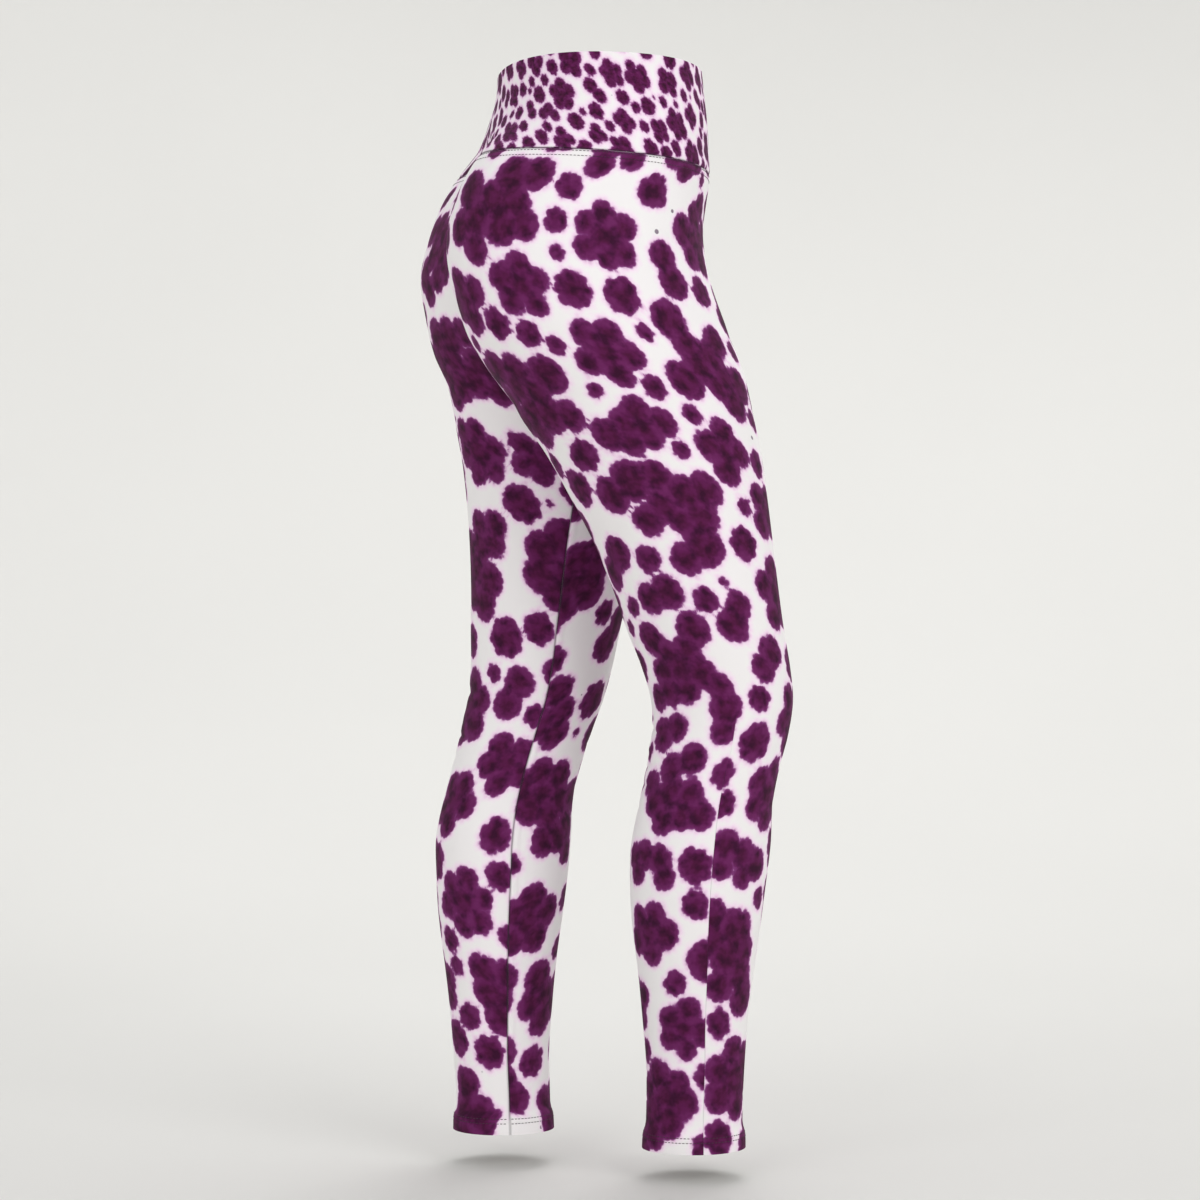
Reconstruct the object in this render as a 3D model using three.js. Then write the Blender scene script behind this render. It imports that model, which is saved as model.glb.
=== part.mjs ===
// Full-length jersey leggings with a deep waistband, filled out as they are when worn, the right leg a step forward.
// Millimetres, +Z up. The front faces -Y and the right leg is on -X.
// The origin is the middle of the waistband, where the garment is held up.
import * as THREE from 'three';

const { clamp, lerp, smoothstep } = THREE.MathUtils;

// Cloth and making
const LEG_CLOTH = 1.2; // one layer
const HEM_CLOTH = 2.0; // turned up once
const BAND_CLOTH = 2.2; // folded double
const SEAM_GAP = 0.3; // between two sewn edges
const HEM_DEPTH = 17;
const HEM_FLARE = 2.6; // the stitched hem stands out from the leg above it
const HEM_FLARE_LENGTH = 7;
const BAND_FOLD = 0.8; // rounding of the band's folded edge

// Heights, measured up from a level just under both hems
const BAND_TOP = 945;
const BAND_FOOT = 857;
const HELD_AT = (BAND_TOP + BAND_FOOT) / 2;
const CROTCH = 650;
const SHAPING_SEAM_TOP = 400; // on the outside of each leg, from just above the knee down
const RIGHT_HEM = 5;
const LEFT_HEM = 9; // the leg behind stands a little higher
const SEAM_TILT = 0.05; // the waist seam sits lower in front: height lost for each unit forward
const TOP_TILT = 0.02;
const TILT_FADES_AT = 700;
const STRIDE_SPREAD = 60; // how far from the middle plane the cloth has taken up the whole stride
const STRIDE_FREE = 70; // how far below the crotch the inner thigh has taken it up too

// Mesh steps
const LEG_COLUMNS = 30; // even, so that the shaping seam lies on a column
const HIP_ROWS = 12;
const LEG_ROWS = 24;
const BAND_COLUMNS = 56;
const BAND_ROWS = 5;
const HIP_CROWDING = 0.7; // how much the rows beside the seams crowd towards the crotch, 0 being not at all
const LEG_CROWDING = 0.45;

// Each leg's sections: inner and outer side from the middle plane, half depth, centre front to back (front is
// negative), and how far the leg has stepped from there.
const LEG = {
  columns: ['height', 'inner', 'outer', 'halfDepth', 'middle', 'stride'],
  rows: [
    [0, 11.5, 88.5, 43, 2.5, 76.5],
    [40, 13, 89, 42.2, 2.5, 77],
    [80, 13, 92, 43.2, 3, 78],
    [120, 11.5, 97.5, 46.3, 3.3, 77.7],
    [160, 10, 104, 50.6, 3.3, 77.8],
    [200, 8.5, 109.5, 56, 3, 77.5],
    [235, 7.5, 113.5, 59.2, 1.7, 77.3],
    [270, 8.5, 116.5, 60.8, -0.3, 77.6],
    [305, 11.5, 117.5, 58.2, -4.8, 77],
    [335, 13, 119, 58, -11.5, 75.8],
    [365, 13, 122, 59.5, -19, 74.5],
    [395, 12.5, 126.5, 61.7, -24.3, 70.8],
    [425, 12, 132, 64.6, -24, 64.8],
    [455, 11.3, 137.3, 67.9, -21.2, 58.5],
    [490, 10.8, 141.8, 71.6, -18.8, 51.8],
    [530, 10, 147, 77.3, -15.6, 43.8],
    [565, 9, 152.5, 84.2, -12.2, 35.4],
    [607, 7.5, 159, 93, -6.7, 25.4],
    [635, 5, 164.5, 100, -1.2, 17.8],
    [645, 2.6, 166, 101.5, 0.7, 15.8],
    [650, 0, 167, 102.5, 1.5, 15],
    [677, 0, 170, 109.8, 7.7, 7.5],
    [705, 0, 172, 114, 18.8, 4.8],
    [739, 0, 171.5, 115, 28, 3.2],
    [770, 0, 168, 114, 35, 2],
    [800, 0, 163, 110, 34.5, 0],
    [830, 0, 156, 101, 33, 0],
    [857, 0, 148, 97, 22, 0],
    [877, 0, 140, 92, 16, 0],
    [895, 0, 133, 88, 11, 0],
    [950, 0, 122, 84, 2, 0],
  ],
};

// The hips and waist round both legs: half width, front and back, how much of the outline follows them rather
// than each leg, and how wide the cloth bridges the valley between the legs, in front and behind.
const HIPS = {
  columns: ['height', 'halfWidth', 'front', 'back', 'followFront', 'followBack', 'bridgeFront', 'bridgeBack'],
  rows: [
    [650, 170, -92, 120, 0, 0, 0, 0],
    [677, 172, -90, 128, 0.02, 0.02, 60, 46],
    [705, 172, -88, 136, 0.08, 0.04, 110, 90],
    [739, 171, -84, 144, 0.25, 0.06, 145, 113],
    [770, 168, -85, 149, 0.5, 0.08, 150, 117],
    [800, 163, -86, 148, 0.75, 0.1, 150, 117],
    [830, 155, -89.5, 136, 0.93, 0.1, 150, 108],
    [857, 146, -92.5, 117, 1, 0.12, 150, 97],
    [877, 138, -92, 107, 1, 0.45, 150, 95],
    [895, 132, -91.5, 99, 1, 0.85, 150, 110],
    [914, 127, -90, 93, 1, 1, 150, 150],
    [932, 123, -88, 90, 1, 1, 150, 150],
    [950, 121, -86.5, 89, 1, 1, 150, 150],
  ],
};
const HIP_SQUARENESS = 2.25; // 2 is an ellipse
const FAR_OUT = 400;

// A table's values at a height, on a smooth curve through its rows.
function at({ columns, rows }, height) {
  const last = rows.length - 1;
  const above = rows.findIndex((row) => row[0] > height);
  const i = above < 0 ? last - 1 : clamp(above - 1, 0, last - 1);
  const slope = (k, column) => {
    const below = rows[Math.max(0, k - 1)];
    const next = rows[Math.min(last, k + 1)];
    return (next[column] - below[column]) / (next[0] - below[0]);
  };
  const span = rows[i + 1][0] - rows[i][0];
  const t = clamp((height - rows[i][0]) / span, 0, 1);
  const valueOf = (column) =>
    (2 * t ** 3 - 3 * t ** 2 + 1) * rows[i][column] +
    (t ** 3 - 2 * t ** 2 + t) * span * slope(i, column) +
    (3 * t ** 2 - 2 * t ** 3) * rows[i + 1][column] +
    (t ** 3 - t ** 2) * span * slope(i + 1, column);
  return Object.fromEntries(columns.map((name, column) => [name, valueOf(column)]));
}

// The hips' outline as a value that grows outward from -1 to 0 at the cloth and on, times their mean size.
function hipValue(hips, x, y) {
  const middle = (hips.front + hips.back) / 2;
  const depth = (hips.back - hips.front) / 2;
  const across = Math.abs(x / hips.halfWidth) ** HIP_SQUARENESS;
  const along = Math.abs((y - middle) / depth) ** HIP_SQUARENESS;
  return ((across + along) ** (1 / HIP_SQUARENESS) - 1) * Math.sqrt(hips.halfWidth * depth);
}

// One leg's outline before the stride: pointAt gives its points by the turn, which is 0 at the inner thigh and
// runs through the front, the outside and the back, and seamTurn tells where it meets the middle seam, in front
// (way 1) or behind (way -1). x is the distance from the middle plane.
function legOutline(height) {
  const leg = at(LEG, height);
  const centre = (leg.inner + leg.outer) / 2;
  const width = (leg.outer - leg.inner) / 2;
  const hips = at(HIPS, Math.max(height, CROTCH));
  const legValue = (x, y) =>
    (Math.hypot((x - centre) / width, (y - leg.middle) / leg.halfDepth) - 1) * Math.sqrt(width * leg.halfDepth);
  const valueAt = (x, y) => {
    const own = legValue(x, y);
    if (height <= CROTCH) return own;
    // Both legs, with the cloth bridging the valley between them.
    const other = legValue(-x, y);
    const frontness = smoothstep((leg.middle - y) / leg.halfDepth, -1, 1);
    const follow = lerp(hips.followBack, hips.followFront, frontness);
    const bridge = lerp(hips.bridgeBack, hips.bridgeFront, frontness);
    const closeness = Math.max(bridge - Math.abs(own - other), 0) / bridge;
    const legs = Math.min(own, other) - (closeness ** 2 * bridge) / 4;
    return lerp(legs, hipValue(hips, x, y), follow);
  };
  const pointAt = (turn) => {
    const across = Math.cos(turn);
    const toPlane = across > 0 ? centre / across : FAR_OUT;
    const point = (reach) => [centre - across * reach, leg.middle - Math.sin(turn) * reach];
    return new THREE.Vector2(...point(edge((reach) => valueAt(...point(reach)), Math.min(toPlane, FAR_OUT))));
  };
  const seamTurn = (way) => {
    if (height <= CROTCH) return SEAM_GAP / 2 / leg.halfDepth;
    const reach = edge((away) => valueAt(SEAM_GAP / 2, leg.middle - way * away), FAR_OUT);
    return Math.atan2(reach, centre - SEAM_GAP / 2);
  };
  return { pointAt, seamTurn };
}

// How far out a value that starts below 0 comes to 0, looking no further than a limit.
function edge(valueOf, limit) {
  let near = 0;
  let far = limit;
  for (let i = 0; i < 36; i++) {
    const reach = (near + far) / 2;
    if (valueOf(reach) < 0) near = reach;
    else far = reach;
  }
  return near;
}

// Moves a plain point to its worn place: the step forward (side -1, the right leg) or back, and the waist's tilt.
function worn(side, x, y, height) {
  const free = smoothstep(CROTCH - height, 0, STRIDE_FREE);
  const taken = Math.max(smoothstep(x, 0, STRIDE_SPREAD), free);
  const stepped = y + side * at(LEG, height).stride * taken;
  const tilt =
    height > BAND_FOOT
      ? lerp(SEAM_TILT, TOP_TILT, (height - BAND_FOOT) / (BAND_TOP - BAND_FOOT))
      : SEAM_TILT * smoothstep(height, TILT_FADES_AT, BAND_FOOT);
  return new THREE.Vector3(side * x, stepped, height + tilt * y - HELD_AT);
}

// The triangles of a quad, as indices into its sheet.
const halves = (a, b, c, d) => [a, b, c, a, c, d];

// Outward normals at a sheet's points. Its columns run anticlockwise from above for way 1.
function normalsOf(rows, way) {
  const width = rows[0].length;
  const indices = [];
  for (let r = 0; r + 1 < rows.length; r++) {
    for (let c = 0; c + 1 < width; c++) {
      const k = r * width + c;
      indices.push(...(way > 0 ? halves(k, k + width, k + width + 1, k + 1) : halves(k, k + 1, k + width + 1, k + width)));
    }
  }
  const geometry = new THREE.BufferGeometry().setFromPoints(rows.flat());
  geometry.setIndex(indices);
  geometry.computeVertexNormals();
  const all = geometry.getAttribute('normal');
  return rows.map((row, r) => row.map((_, c) => new THREE.Vector3().fromBufferAttribute(all, r * width + c)));
}

// Gives two points of a row one shared normal.
function share(normals, a, b) {
  normals[a].add(normals[b]).normalize();
  normals[b].copy(normals[a]);
}

// The closed body between an outer and an inner sheet. Where gapAt names a column's quads "open" the cloth has a
// slit there, and where it names them "sewn" its two edges are one.
function bodyOf(outer, inner, way, gapAt) {
  const positions = [];
  const quad = (...corners) => {
    const [a, b, c, d] = way > 0 ? corners : corners.reverse();
    for (const p of [a, b, c, a, c, d]) positions.push(p.x, p.y, p.z);
  };
  const rows = outer.length - 1;
  const columns = outer[0].length - 1;
  const kindOf = (r, c) => (r < 0 || c < 0 || r >= rows || c >= columns ? 'open' : gapAt(r, c));
  for (let r = 0; r < rows; r++) {
    for (let c = 0; c < columns; c++) {
      if (kindOf(r, c) !== 'cloth') continue;
      const [o00, o01, o10, o11] = [outer[r][c], outer[r][c + 1], outer[r + 1][c], outer[r + 1][c + 1]];
      const [i00, i01, i10, i11] = [inner[r][c], inner[r][c + 1], inner[r + 1][c], inner[r + 1][c + 1]];
      quad(o00, o10, o11, o01);
      quad(i00, i01, i11, i10);
      if (kindOf(r, c - 1) === 'open') quad(o00, i00, i10, o10);
      if (kindOf(r, c + 1) === 'open') quad(o01, o11, i11, i01);
      if (kindOf(r - 1, c) === 'open') quad(o00, o01, i01, i00);
      if (kindOf(r + 1, c) === 'open') quad(o10, i10, i11, o11);
    }
  }
  const geometry = new THREE.BufferGeometry();
  geometry.setAttribute('position', new THREE.Float32BufferAttribute(positions, 3));
  geometry.computeVertexNormals();
  return geometry;
}

// The heights of a leg's rows from the waist seam down. Beside the seams, at nearness 1, they crowd towards the
// crotch, and on the outside, at nearness 0, they are even.
function legHeights(hem, nearness) {
  const top = BAND_FOOT - SEAM_GAP;
  const foot = hem + HEM_DEPTH + HEM_FLARE_LENGTH;
  const hips = Array.from(
    { length: HIP_ROWS },
    (_, i) => CROTCH + (top - CROTCH) * (1 - i / HIP_ROWS) ** (1 + HIP_CROWDING * nearness),
  );
  const leg = Array.from({ length: LEG_ROWS + 1 }, (_, i) =>
    lerp(CROTCH, foot, (i / LEG_ROWS) ** (1 + LEG_CROWDING * nearness)),
  );
  return [...hips, ...leg, hem + HEM_DEPTH, hem + HEM_DEPTH / 2, hem];
}

// One leg panel, a single piece of cloth from the waist seam to the hem. Its front and back edges meet the
// other panel in the middle seam above the crotch, and each other in the inseam below it.
function legPanel(side, hem) {
  const middle = LEG_COLUMNS / 2;
  const last = LEG_COLUMNS + 1;
  const crotchRow = HIP_ROWS;
  const hemTop = hem + HEM_DEPTH;
  const heights = legHeights(hem, 0);
  const columns = Array.from({ length: last + 1 }, (_, i) => {
    const column = i > middle ? i - 1 : i;
    const round = (2 * column) / LEG_COLUMNS; // 0 at the front edge, 1 on the outside, 2 at the back edge
    return legHeights(hem, (1 + Math.cos(Math.PI * round)) / 2).map((height) => {
      const { pointAt, seamTurn } = legOutline(height);
      // The columns crowd beside the middle seam, where the outline is cut short.
      const turn =
        round < 1
          ? Math.PI * round + seamTurn(1) * (1 - round) ** 2
          : Math.PI * round - seamTurn(-1) * (round - 1) ** 2;
      const flare = HEM_FLARE * (1 - smoothstep(height, hemTop - HEM_FLARE_LENGTH, hemTop + HEM_FLARE_LENGTH));
      const point = pointAt(turn);
      point.x = Math.max(point.x - flare * Math.cos(turn), SEAM_GAP / 2);
      point.y -= flare * Math.sin(turn);
      // The two edges of the shaping seam stand apart.
      if (height < SHAPING_SEAM_TOP && column === middle) point.y += (i === middle ? -0.5 : 0.5) * SEAM_GAP;
      return worn(side, point.x, point.y, height);
    });
  });
  const outer = heights.map((_, r) => columns.map((column) => column[r]));
  const normals = normalsOf(outer, side);
  const inner = outer.map((row, r) => {
    const height = heights[r];
    share(normals[r], middle, middle + 1);
    if (r >= crotchRow) share(normals[r], 0, last);
    const thickness = height <= hemTop ? HEM_CLOTH : LEG_CLOTH;
    return row.map((point, c) => {
      const normal = normals[r][c].clone();
      const atSeam = r < crotchRow && (c === 0 || c === last);
      // The cut edges are square: level at the waist and the hem, upright at the middle seam.
      if (r === 0 || height <= hemTop) normal.z = 0;
      if (atSeam) normal.x = 0;
      normal.divideScalar(Math.max(normal.lengthSq(), 0.4));
      const moved = point.clone().addScaledVector(normal, -thickness);
      moved.x = side * Math.max(side * moved.x, SEAM_GAP / 2);
      return moved;
    });
  });
  const gapAt = (r, c) => {
    if (c !== middle) return 'cloth';
    return heights[r + 1] < SHAPING_SEAM_TOP ? 'open' : 'sewn';
  };
  return bodyOf(outer, inner, side, gapAt);
}

// The waistband: one ring from its folded top edge to the waist seam, with its own seam at the centre back.
function waistband() {
  const levels = [{ height: BAND_TOP, fold: BAND_FOLD }];
  for (let i = 0; i <= BAND_ROWS; i++) {
    levels.push({ height: lerp(BAND_TOP - BAND_FOLD, BAND_FOOT, i / BAND_ROWS), fold: 0 });
  }
  // Half a ring from the centre front to the centre back, moved in by an inset.
  const half = (side, height, inset) => {
    const { pointAt, seamTurn } = legOutline(height);
    const front = seamTurn(1);
    const back = 2 * Math.PI - seamTurn(-1);
    return Array.from({ length: BAND_COLUMNS / 2 + 1 }, (_, i) => {
      const turn = lerp(front, back, (2 * i) / BAND_COLUMNS);
      const point = pointAt(turn);
      const along = pointAt(turn + 0.01).sub(pointAt(turn - 0.01)).normalize();
      const atFront = i === 0;
      const atBack = i === BAND_COLUMNS / 2;
      point.x += atFront || atBack ? 0 : -along.y * inset;
      point.y += along.x * inset;
      if (atFront) point.x = 0;
      if (atBack) point.x = SEAM_GAP / 2;
      return worn(side, point.x, point.y, height);
    });
  };
  const ring = (height, inset) => [...half(1, height, inset).reverse(), ...half(-1, height, inset).slice(1)];
  const outer = levels.map(({ height, fold }) => ring(height, fold));
  const inner = levels.map(({ height, fold }) => ring(height, BAND_CLOTH - fold));
  return bodyOf(outer, inner, -1, () => 'cloth');
}

function piece(name, geometry, colour) {
  const mesh = new THREE.Mesh(geometry, new THREE.MeshStandardMaterial({ color: colour, roughness: 0.85 }));
  mesh.name = name;
  return mesh;
}

const leggings = new THREE.Group();
leggings.name = 'leggings';
leggings.add(piece('waistband', waistband(), 0xd9c6dc));
leggings.add(piece('right_leg', legPanel(-1, RIGHT_HEM), 0xe6e2e8));
leggings.add(piece('left_leg', legPanel(1, LEFT_HEM), 0xcfc3d4));
export default leggings;
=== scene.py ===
# Full-length stretch leggings with a deep waistband, filled out as they are when worn, the right leg a step forward.
# Metres, +Z up, the front towards -Y and the right leg on -X. The tables and the functions that shape the cloth hold
# millimetres, and a finished point is turned to metres.
import math
import random

import bmesh
import bpy
import numpy as np
from mathutils import Matrix, Vector


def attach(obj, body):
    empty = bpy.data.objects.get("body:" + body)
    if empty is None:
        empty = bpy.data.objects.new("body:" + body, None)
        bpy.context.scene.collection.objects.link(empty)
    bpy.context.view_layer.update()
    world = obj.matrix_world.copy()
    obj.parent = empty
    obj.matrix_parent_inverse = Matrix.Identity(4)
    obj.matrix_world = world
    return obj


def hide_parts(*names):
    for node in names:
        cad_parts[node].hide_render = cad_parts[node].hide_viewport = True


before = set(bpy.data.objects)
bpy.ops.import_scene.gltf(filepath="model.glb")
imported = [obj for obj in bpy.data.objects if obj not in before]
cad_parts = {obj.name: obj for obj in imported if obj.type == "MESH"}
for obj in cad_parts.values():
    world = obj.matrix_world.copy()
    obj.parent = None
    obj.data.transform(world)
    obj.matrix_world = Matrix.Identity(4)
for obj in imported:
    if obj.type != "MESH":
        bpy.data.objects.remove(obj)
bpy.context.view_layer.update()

MM = 0.001
render_levels = 2

# Cloth and making, in mm
LEG_CLOTH = 1.2  # one layer
HEM_CLOTH = 2.0  # turned up once
BAND_CLOTH = 2.2  # folded double
SEAM_GAP = 0.3
HEM_DEPTH = 17
HEM_STITCH_LINES = (10, 14)  # above the hem's edge
WAIST_STITCH_LINES = (1.6, 6.2)  # under the waist seam
STITCH_LIFT = 0.2  # from the cloth's face to the middle of a stitch
SLIT_HALF_GAP = 0.03  # between the two edges that a shaping seam joins, where the print is cut
DART = 22  # how much narrower the shaping seam makes the leg at the hem
HEM_FLARE = 2.6
HEM_FLARE_LENGTH = 7

# Heights in mm, measured up from a level just under both hems
BAND_TOP = 945
BAND_FOOT = 857
HELD_AT = (BAND_TOP + BAND_FOOT) / 2
BAND_HALF_ROUND = 370  # the worn waistband from its centre front to its centre back
CROTCH = 650
SHAPING_SEAM_TOP = 400
HEMS = {-1: 5, 1: 9}  # right and left leg
SEAM_TILT = 0.05
TOP_TILT = 0.02
TILT_FADES_AT = 700
STRIDE_SPREAD = 60
STRIDE_FREE = 70
HIP_SQUARENESS = 2.25
FAR_OUT = 400

# How many columns of points each piece of cloth has: across a leg panel, and round half the waistband
LEG_COLUMNS_OF_POINTS = 177
BAND_COLUMNS_OF_POINTS = 281

# Each leg's sections, as the solids have them.
LEG_COLUMNS = ("height", "inner", "outer", "half_depth", "middle", "stride")
LEG = np.array([
    [0, 11.5, 88.5, 43, 2.5, 76.5],
    [40, 13, 89, 42.2, 2.5, 77],
    [80, 13, 92, 43.2, 3, 78],
    [120, 11.5, 97.5, 46.3, 3.3, 77.7],
    [160, 10, 104, 50.6, 3.3, 77.8],
    [200, 8.5, 109.5, 56, 3, 77.5],
    [235, 7.5, 113.5, 59.2, 1.7, 77.3],
    [270, 8.5, 116.5, 60.8, -0.3, 77.6],
    [305, 11.5, 117.5, 58.2, -4.8, 77],
    [335, 13, 119, 58, -11.5, 75.8],
    [365, 13, 122, 59.5, -19, 74.5],
    [395, 12.5, 126.5, 61.7, -24.3, 70.8],
    [425, 12, 132, 64.6, -24, 64.8],
    [455, 11.3, 137.3, 67.9, -21.2, 58.5],
    [490, 10.8, 141.8, 71.6, -18.8, 51.8],
    [530, 10, 147, 77.3, -15.6, 43.8],
    [565, 9, 152.5, 84.2, -12.2, 35.4],
    [607, 7.5, 159, 93, -6.7, 25.4],
    [635, 5, 164.5, 100, -1.2, 17.8],
    [645, 2.6, 166, 101.5, 0.7, 15.8],
    [650, 0, 167, 102.5, 1.5, 15],
    [677, 0, 170, 109.8, 7.7, 7.5],
    [705, 0, 172, 114, 18.8, 4.8],
    [739, 0, 171.5, 115, 28, 3.2],
    [770, 0, 168, 114, 35, 2],
    [800, 0, 163, 110, 34.5, 0],
    [830, 0, 156, 101, 33, 0],
    [857, 0, 148, 97, 22, 0],
    [877, 0, 140, 92, 16, 0],
    [895, 0, 133, 88, 11, 0],
    [950, 0, 122, 84, 2, 0],
])

# The hips and waist round both legs, as the solids have them.
HIP_COLUMNS = ("height", "half_width", "front", "back", "follow_front", "follow_back", "bridge_front", "bridge_back")
HIPS = np.array([
    [650, 170, -92, 120, 0, 0, 0, 0],
    [677, 172, -90, 128, 0.02, 0.02, 60, 46],
    [705, 172, -88, 136, 0.08, 0.04, 110, 90],
    [739, 171, -84, 144, 0.25, 0.06, 145, 113],
    [770, 168, -85, 149, 0.5, 0.08, 150, 117],
    [800, 163, -86, 148, 0.75, 0.1, 150, 117],
    [830, 155, -89.5, 136, 0.93, 0.1, 150, 108],
    [857, 146, -92.5, 117, 1, 0.12, 150, 97],
    [877, 138, -92, 107, 1, 0.45, 150, 95],
    [895, 132, -91.5, 99, 1, 0.85, 150, 110],
    [914, 127, -90, 93, 1, 1, 150, 150],
    [932, 123, -88, 90, 1, 1, 150, 150],
    [950, 121, -86.5, 89, 1, 1, 150, 150],
])

# Creases that the stretched cloth keeps, on the right leg (side -1), the left leg (1) or the waistband (0). along is
# the way round from the outside of the leg, to the front (negative) or the back, or round the waistband from its
# centre front, to the right (negative) or the left. tilt turns the crease in degrees, its back end up, bow bends its
# middle up, and depth is how deep the trough is, negative for a ridge.
CREASE_COLUMNS = ("side", "along", "height", "half_length", "half_width", "depth", "tilt", "bow")
CREASES = [
    # Behind the right knee
    [-1, 92, 366, 30, 3.0, 2.2, 14, 3],
    [-1, 96, 352, 22, 2.6, -1.0, 10, 2],
    [-1, 88, 341, 24, 2.8, 1.6, -6, -2],
    [-1, 84, 318, 27, 3.2, 1.2, 8, 3],
    [-1, 104, 300, 18, 2.6, 0.7, -12, 2],
    [-1, 44, 401, 36, 2.4, 0.9, -3, 1],
    [-1, 70, 424, 28, 4.0, 0.6, 18, 4],
    # Over the right shin and ankle
    [-1, -98, 352, 20, 3.5, 0.6, -8, -3],
    [-1, -86, 300, 26, 4.5, 0.5, 10, 4],
    [-1, 62, 66, 22, 2.8, 0.6, 12, 2],
    [-1, -50, 52, 24, 2.6, 0.5, -9, -2],
    [-1, 20, 112, 26, 4.0, 0.4, 6, 3],
    # Behind the left knee
    [1, 86, 395, 30, 4.0, 1.8, 12, 4],
    [1, 100, 378, 24, 3.0, -0.7, 8, 2],
    [1, 94, 362, 28, 2.8, 2.0, -4, -3],
    [1, 82, 338, 22, 2.8, 0.9, 10, 2],
    [1, 108, 322, 17, 2.4, 0.6, -10, 2],
    [1, 60, 420, 32, 3.4, 0.6, 15, 3],
    # Over the left shin and ankle
    [1, -92, 356, 24, 4.0, 0.6, 6, -3],
    [1, -104, 312, 22, 3.5, 0.5, -10, 3],
    [1, 54, 58, 24, 2.6, 0.6, -10, 2],
    [1, -66, 74, 20, 3.0, 0.5, 8, -2],
    [1, -10, 128, 25, 4.5, 0.4, -6, 2],
    # From the crotch out over the front of each thigh, the longer ones on the leg that steps
    [-1, -182, 668, 40, 4.5, 1.2, -32, 5],
    [-1, -168, 640, 34, 4.0, 0.8, -20, 4],
    [-1, -150, 706, 46, 6.0, 0.9, -38, 6],
    [1, -184, 664, 34, 4.5, 1.0, -26, 4],
    [1, -160, 694, 42, 5.5, 0.8, -34, 5],
    # Under the seat
    [-1, 176, 622, 30, 5.0, 0.8, 16, -5],
    [1, 172, 628, 36, 5.0, 1.0, 20, -6],
    [1, 150, 600, 28, 4.0, 0.6, 12, -4],
    # Under the waist seam
    [-1, -40, 838, 24, 3.5, 0.5, 8, 2],
    [-1, 96, 832, 28, 4.0, 0.6, -12, 3],
    [1, -70, 836, 26, 3.5, 0.5, -9, 2],
    [1, 60, 830, 30, 4.0, 0.6, 10, 3],
    # Across the waistband, in the small of the back and at the sides, where it bends
    [0, -318, 897, 46, 4.0, 1.1, -5, 2],
    [0, -338, 884, 34, 3.2, -0.7, 3, 1],
    [0, -322, 873, 40, 3.4, 0.9, 6, -2],
    [0, -296, 914, 30, 4.2, 0.7, -9, 2],
    [0, -206, 884, 38, 4.0, 0.6, 7, 2],
    [0, -92, 892, 34, 4.4, 0.7, -6, 3],
    [0, -60, 874, 26, 3.6, 0.5, 8, -2],
    [0, 310, 893, 42, 3.8, 1.0, 4, 2],
    [0, 334, 879, 36, 3.4, 0.8, -5, -2],
    [0, 290, 911, 28, 4.4, -0.6, 8, 2],
    [0, 196, 888, 36, 4.2, 0.6, -8, 2],
    [0, 84, 886, 36, 4.2, 0.7, 7, 3],
]

# The print's blots, the large ones first: how many places are tried for each kind, how many petals it has, their
# radius and the white gap that it keeps from its neighbours, in mm. A flower's petals stand apart in a ring, a
# cluster's overlap, and a bud is one round head with a scalloped edge, its radius being the whole head's.
BLOT_COLUMNS = ("kind", "tries", "petals", "radius", "gap")
BLOTS = [
    ["cluster", 60, (9, 13), (13, 16), 4.2],
    ["flower", 400, (5, 6), (11, 14), 4.0],
    ["cluster", 400, (5, 7), (12, 15), 4.0],
    ["flower", 900, (4, 5), (10.5, 13.5), 3.8],
    ["cluster", 900, (2, 3), (13, 16), 3.8],
    ["bud", 6000, (7, 8), (14, 18), 3.6],
    ["bud", 9000, (6, 7), (10, 13.5), 3.4],
    ["bud", 2000, (5, 6), (6.5, 9.5), 3.6],
    ["cluster", 200, (1, 1), (2.5, 4.5), 4.5],
]
# A print's scale, and how much longer than wide its blots are, up the body
LEG_PRINT = (1.0, 1.1)
BAND_PRINT = (0.4, 1.25)
BAND_BLOTS = [
    ["flower", 220, (4, 5), (10.5, 13.5), 3.8],
    ["cluster", 500, (2, 3), (12, 15), 3.6],
    *BLOTS[5:],
]
TRIES_AREA = 470000  # the flat cloth that the tries are counted for, in square mm
PETAL_REACH = 12  # how far out from its edge a petal counts, in mm

# How the dye meets the white of the leg cloth, in mm: the width and height of its scallops, the mean of a scallop's
# profile as a share of its height, the height of its fringe, how far it creeps past the laid-out blot, and how far
# inside and outside its edge its colours still change.
SCALLOP_WIDTH = 4.8
SCALLOP_HEIGHT = 2.6
SCALLOP_MEAN = 0.24
FRINGE_HEIGHT = 0.4
CREEP = 0.7
DYE_INSIDE = 9
DYE_OUTSIDE = 6


def lerp(a, b, t):
    return a + (b - a) * t


def smoothstep(x, low, high):
    t = np.clip((x - low) / (high - low), 0, 1)
    return t * t * (3 - 2 * t)


def at(columns, rows, height):
    """A table's values at these heights, on a smooth curve through its rows."""
    heights = rows[:, 0]
    last = len(rows) - 1
    i = np.clip(np.searchsorted(heights, height, side="right") - 1, 0, last - 1)
    below = np.maximum(np.arange(last + 1) - 1, 0)
    above = np.minimum(np.arange(last + 1) + 1, last)
    slope = (rows[above] - rows[below]) / (heights[above] - heights[below])[:, None]
    span = (heights[i + 1] - heights[i])[..., None]
    t = np.clip((height - heights[i])[..., None] / span, 0, 1)
    value = (
        (2 * t**3 - 3 * t**2 + 1) * rows[i]
        + (t**3 - 2 * t**2 + t) * span * slope[i]
        + (3 * t**2 - 2 * t**3) * rows[i + 1]
        + (t**3 - t**2) * span * slope[i + 1]
    )
    return dict(zip(columns, np.moveaxis(value, -1, 0)))


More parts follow.
